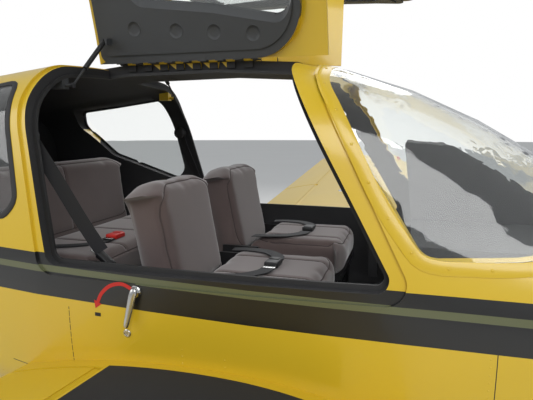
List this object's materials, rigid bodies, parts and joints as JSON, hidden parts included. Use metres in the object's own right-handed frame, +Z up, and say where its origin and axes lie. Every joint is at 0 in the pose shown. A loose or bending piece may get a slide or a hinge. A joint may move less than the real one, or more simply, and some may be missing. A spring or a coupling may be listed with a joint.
{
  "type": "light aeroplane",
  "caption": "Low-wing touring aeroplane with roof-hinged doors standing open, nose propeller, tricycle gear, hinged control surfaces and a furnished cabin.",
  "frame": {"origin": "on the ground, under the middle of the length and span", "axes": "+X towards the nose, +Y to port along the span, +Z up"},
  "size_m": [7.7, 9.7834, 3.02],
  "materials": {
    "yellow_paint": "gloss",
    "black_rubber": "satin",
    "tyre_rubber": "matte",
    "clear_glazing": "gloss",
    "dark_trim": "matte",
    "velour": "matte",
    "seat_frame": "satin",
    "chrome_metal": "polished",
    "steel": "satin",
    "black_metal": "satin",
    "engine_block": "matte",
    "propeller_paint": "satin",
    "rim_paint": "satin"
  },
  "bodies": {
    "root": {"cabin_floor": "seat_frame", "cabin_shell": "yellow_paint", "centre_console": "dark_trim", "control_yokes": "black_metal", "cowl_lower": "yellow_paint", "cowl_upper": "yellow_paint", "door_handles": "chrome_metal", "door_seals": "black_rubber", "engine": "engine_block", "exhaust": "steel", "fin": "yellow_paint", "front_seat_backs": "velour", "front_seat_cushions": "velour", "glareshield": "dark_trim", "instrument_panel": "dark_trim", "main_legs": "seat_frame", "main_spats": "yellow_paint", "nose_leg": "seat_frame", "rear_bench_back": "velour", "rear_bench_cushion": "velour", "rear_windows": "clear_glazing", "seat_bases": "seat_frame", "strut_brackets": "black_metal", "tail_cone": "yellow_paint", "windscreen": "clear_glazing", "wing_left": "yellow_paint", "wing_right": "yellow_paint"},
    "door_right": {"door_skin_right": "yellow_paint", "door_window_right": "clear_glazing", "door_trim_right": "dark_trim"},
    "door_left": {"door_skin_left": "yellow_paint", "door_window_left": "clear_glazing", "door_trim_left": "dark_trim"},
    "strut_tube_right": {"strut_tube_right": "black_metal"},
    "strut_tube_left": {"strut_tube_left": "black_metal"},
    "strut_rod_right": {"strut_rod_right": "steel"},
    "strut_rod_left": {"strut_rod_left": "steel"},
    "flap_right": {"flap_right": "yellow_paint"},
    "flap_left": {"flap_left": "yellow_paint"},
    "aileron_right": {"aileron_right": "yellow_paint"},
    "aileron_left": {"aileron_left": "yellow_paint"},
    "rudder": {"rudder": "yellow_paint"},
    "stabilator": {"stabilator": "yellow_paint"},
    "propeller": {"propeller": "propeller_paint", "spinner": "yellow_paint"},
    "main_wheel_right": {"tyre_main_right": "tyre_rubber", "rim_main_right": "rim_paint"},
    "main_wheel_left": {"tyre_main_left": "tyre_rubber", "rim_main_left": "rim_paint"},
    "nose_fork": {"nose_fork": "seat_frame", "nose_spat": "yellow_paint"},
    "nose_wheel": {"tyre_nose": "tyre_rubber", "rim_nose": "rim_paint"},
    "baggage_door": {"baggage_door": "yellow_paint"}
  },
  "joints": [
    {"name": "door_right_hinge", "type": "hinge", "parent": "root", "child": "door_right", "pos_m": [1.1, -0.108, 1.83], "axis": [1, 0, 0], "range_deg": [0, 80]},
    {"name": "strut_right_pivot", "type": "hinge", "parent": "door_right", "child": "strut_tube_right", "pos_m": [0.712, -0.192, 1.902], "axis": [-1, 0, 0], "range_deg": [0, 113.55]},
    {"name": "strut_right_slide", "type": "slide", "parent": "strut_tube_right", "child": "strut_rod_right", "axis": [0, 0.7354, 0.6776], "range_m": [0, 0.06783]},
    {"name": "door_left_hinge", "type": "hinge", "parent": "root", "child": "door_left", "pos_m": [1.1, 0.108, 1.83], "axis": [-1, 0, 0], "range_deg": [0, 80]},
    {"name": "strut_left_pivot", "type": "hinge", "parent": "door_left", "child": "strut_tube_left", "pos_m": [0.712, 0.192, 1.902], "axis": [1, 0, 0], "range_deg": [0, 113.55]},
    {"name": "strut_left_slide", "type": "slide", "parent": "strut_tube_left", "child": "strut_rod_left", "axis": [0, -0.7354, 0.6776], "range_m": [0, 0.06783]},
    {"name": "flap_left_hinge", "type": "hinge", "parent": "root", "child": "flap_left", "pos_m": [0.98656, 1.70951, 0.90205], "axis": [0, -0.9969, -0.0785], "range_deg": [0, 35]},
    {"name": "aileron_left_hinge", "type": "hinge", "parent": "root", "child": "aileron_left", "pos_m": [0.98656, 3.64602, 1.05446], "axis": [0, -0.9969, -0.0785], "range_deg": [-20, 20]},
    {"name": "flap_right_hinge", "type": "hinge", "parent": "root", "child": "flap_right", "pos_m": [0.98656, -1.70951, 0.90205], "axis": [0, -0.9969, 0.0785], "range_deg": [0, 35]},
    {"name": "aileron_right_hinge", "type": "hinge", "parent": "root", "child": "aileron_right", "pos_m": [0.98656, -3.64602, 1.05446], "axis": [0, -0.9969, 0.0785], "range_deg": [-20, 20]},
    {"name": "rudder_hinge", "type": "hinge", "parent": "root", "child": "rudder", "pos_m": [-2.75178, 0, 1.385], "axis": [-0.1692, 0, 0.9856], "range_deg": [-25, 25]},
    {"name": "stabilator_hinge", "type": "hinge", "parent": "root", "child": "stabilator", "pos_m": [-3.36, 0, 1.165], "axis": [0, 1, 0], "range_deg": [-6, 14]},
    {"name": "propeller_spin", "type": "hinge", "parent": "root", "child": "propeller", "pos_m": [3.69, 0, 1.11], "axis": [1, 0, 0], "continuous": true},
    {"name": "nose_steer", "type": "hinge", "parent": "root", "child": "nose_fork", "pos_m": [3.18, 0, 0.48], "axis": [0, 0, 1], "range_deg": [-22, 22]},
    {"name": "nose_wheel_spin", "type": "hinge", "parent": "nose_fork", "child": "nose_wheel", "pos_m": [3.18, 0, 0.18], "axis": [0, 1, 0], "continuous": true},
    {"name": "baggage_door_hinge", "type": "hinge", "parent": "root", "child": "baggage_door", "pos_m": [0.095, 0.563, 1.33], "axis": [0.9897, 0.1435, 0], "range_deg": [0, 80]},
    {"name": "main_wheel_right_spin", "type": "hinge", "parent": "root", "child": "main_wheel_right", "pos_m": [1.24, -1.165, 0.218], "axis": [0, 1, 0], "continuous": true},
    {"name": "main_wheel_left_spin", "type": "hinge", "parent": "root", "child": "main_wheel_left", "pos_m": [1.24, 1.165, 0.218], "axis": [0, 1, 0], "continuous": true}
  ],
  "couplings": [
    {"joint": "strut_right_pivot", "follows": "door_right_hinge", "ratio": 1.4069},
    {"joint": "strut_right_slide", "follows": "door_right_hinge", "m_per_rad": 0.04815},
    {"joint": "strut_left_pivot", "follows": "door_left_hinge", "ratio": 1.4069},
    {"joint": "strut_left_slide", "follows": "door_left_hinge", "m_per_rad": 0.04815},
    {"joint": "flap_right_hinge", "follows": "flap_left_hinge", "ratio": 1},
    {"joint": "aileron_right_hinge", "follows": "aileron_left_hinge", "ratio": -1}
  ]
}
